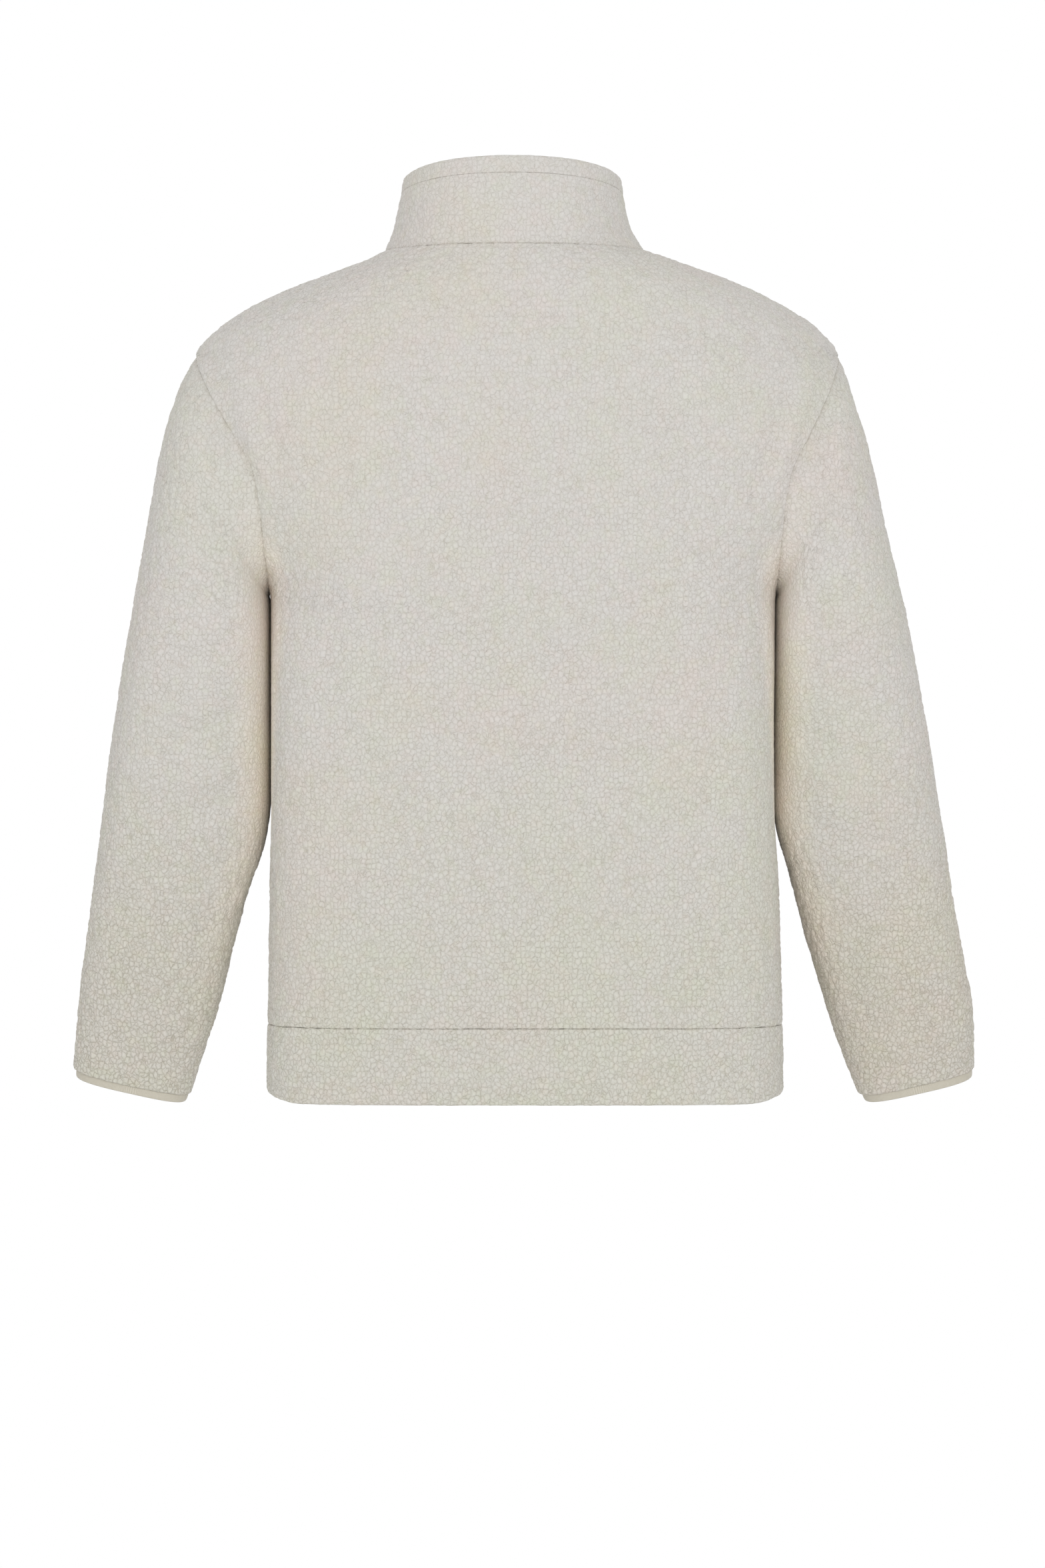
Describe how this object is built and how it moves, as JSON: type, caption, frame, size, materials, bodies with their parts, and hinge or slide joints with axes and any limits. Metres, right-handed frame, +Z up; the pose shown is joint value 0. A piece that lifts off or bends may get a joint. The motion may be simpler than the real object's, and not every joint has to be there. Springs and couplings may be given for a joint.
{
  "type": "fleece pullover",
  "caption": "Hollow pile-fleece pullover with stand collar, long hanging sleeves, straight hem band and knit-bound cuffs, filled out with no wearer.",
  "frame": {"origin": "middle of the neck opening, level with the neck seam at the shoulders, where a wearer's neck comes through", "axes": "+Z up along the body; -Y is the garment's back; +X is the wearer's right side"},
  "size_m": [0.763, 0.239, 0.7939],
  "materials": {
    "pile_fleece": "curly undyed pile, matt",
    "binding_knit": "smooth flat knit tape, matt"
  },
  "bodies": {
    "root": {"back_panel": "pile_fleece", "front_panel": "pile_fleece", "sleeve_left": "pile_fleece", "sleeve_right": "pile_fleece", "collar": "pile_fleece", "collar_top_band": "pile_fleece", "hem_band_back": "pile_fleece", "hem_band_front": "pile_fleece", "cuff_binding_left": "binding_knit", "cuff_binding_right": "binding_knit"}
  },
  "joints": []
}
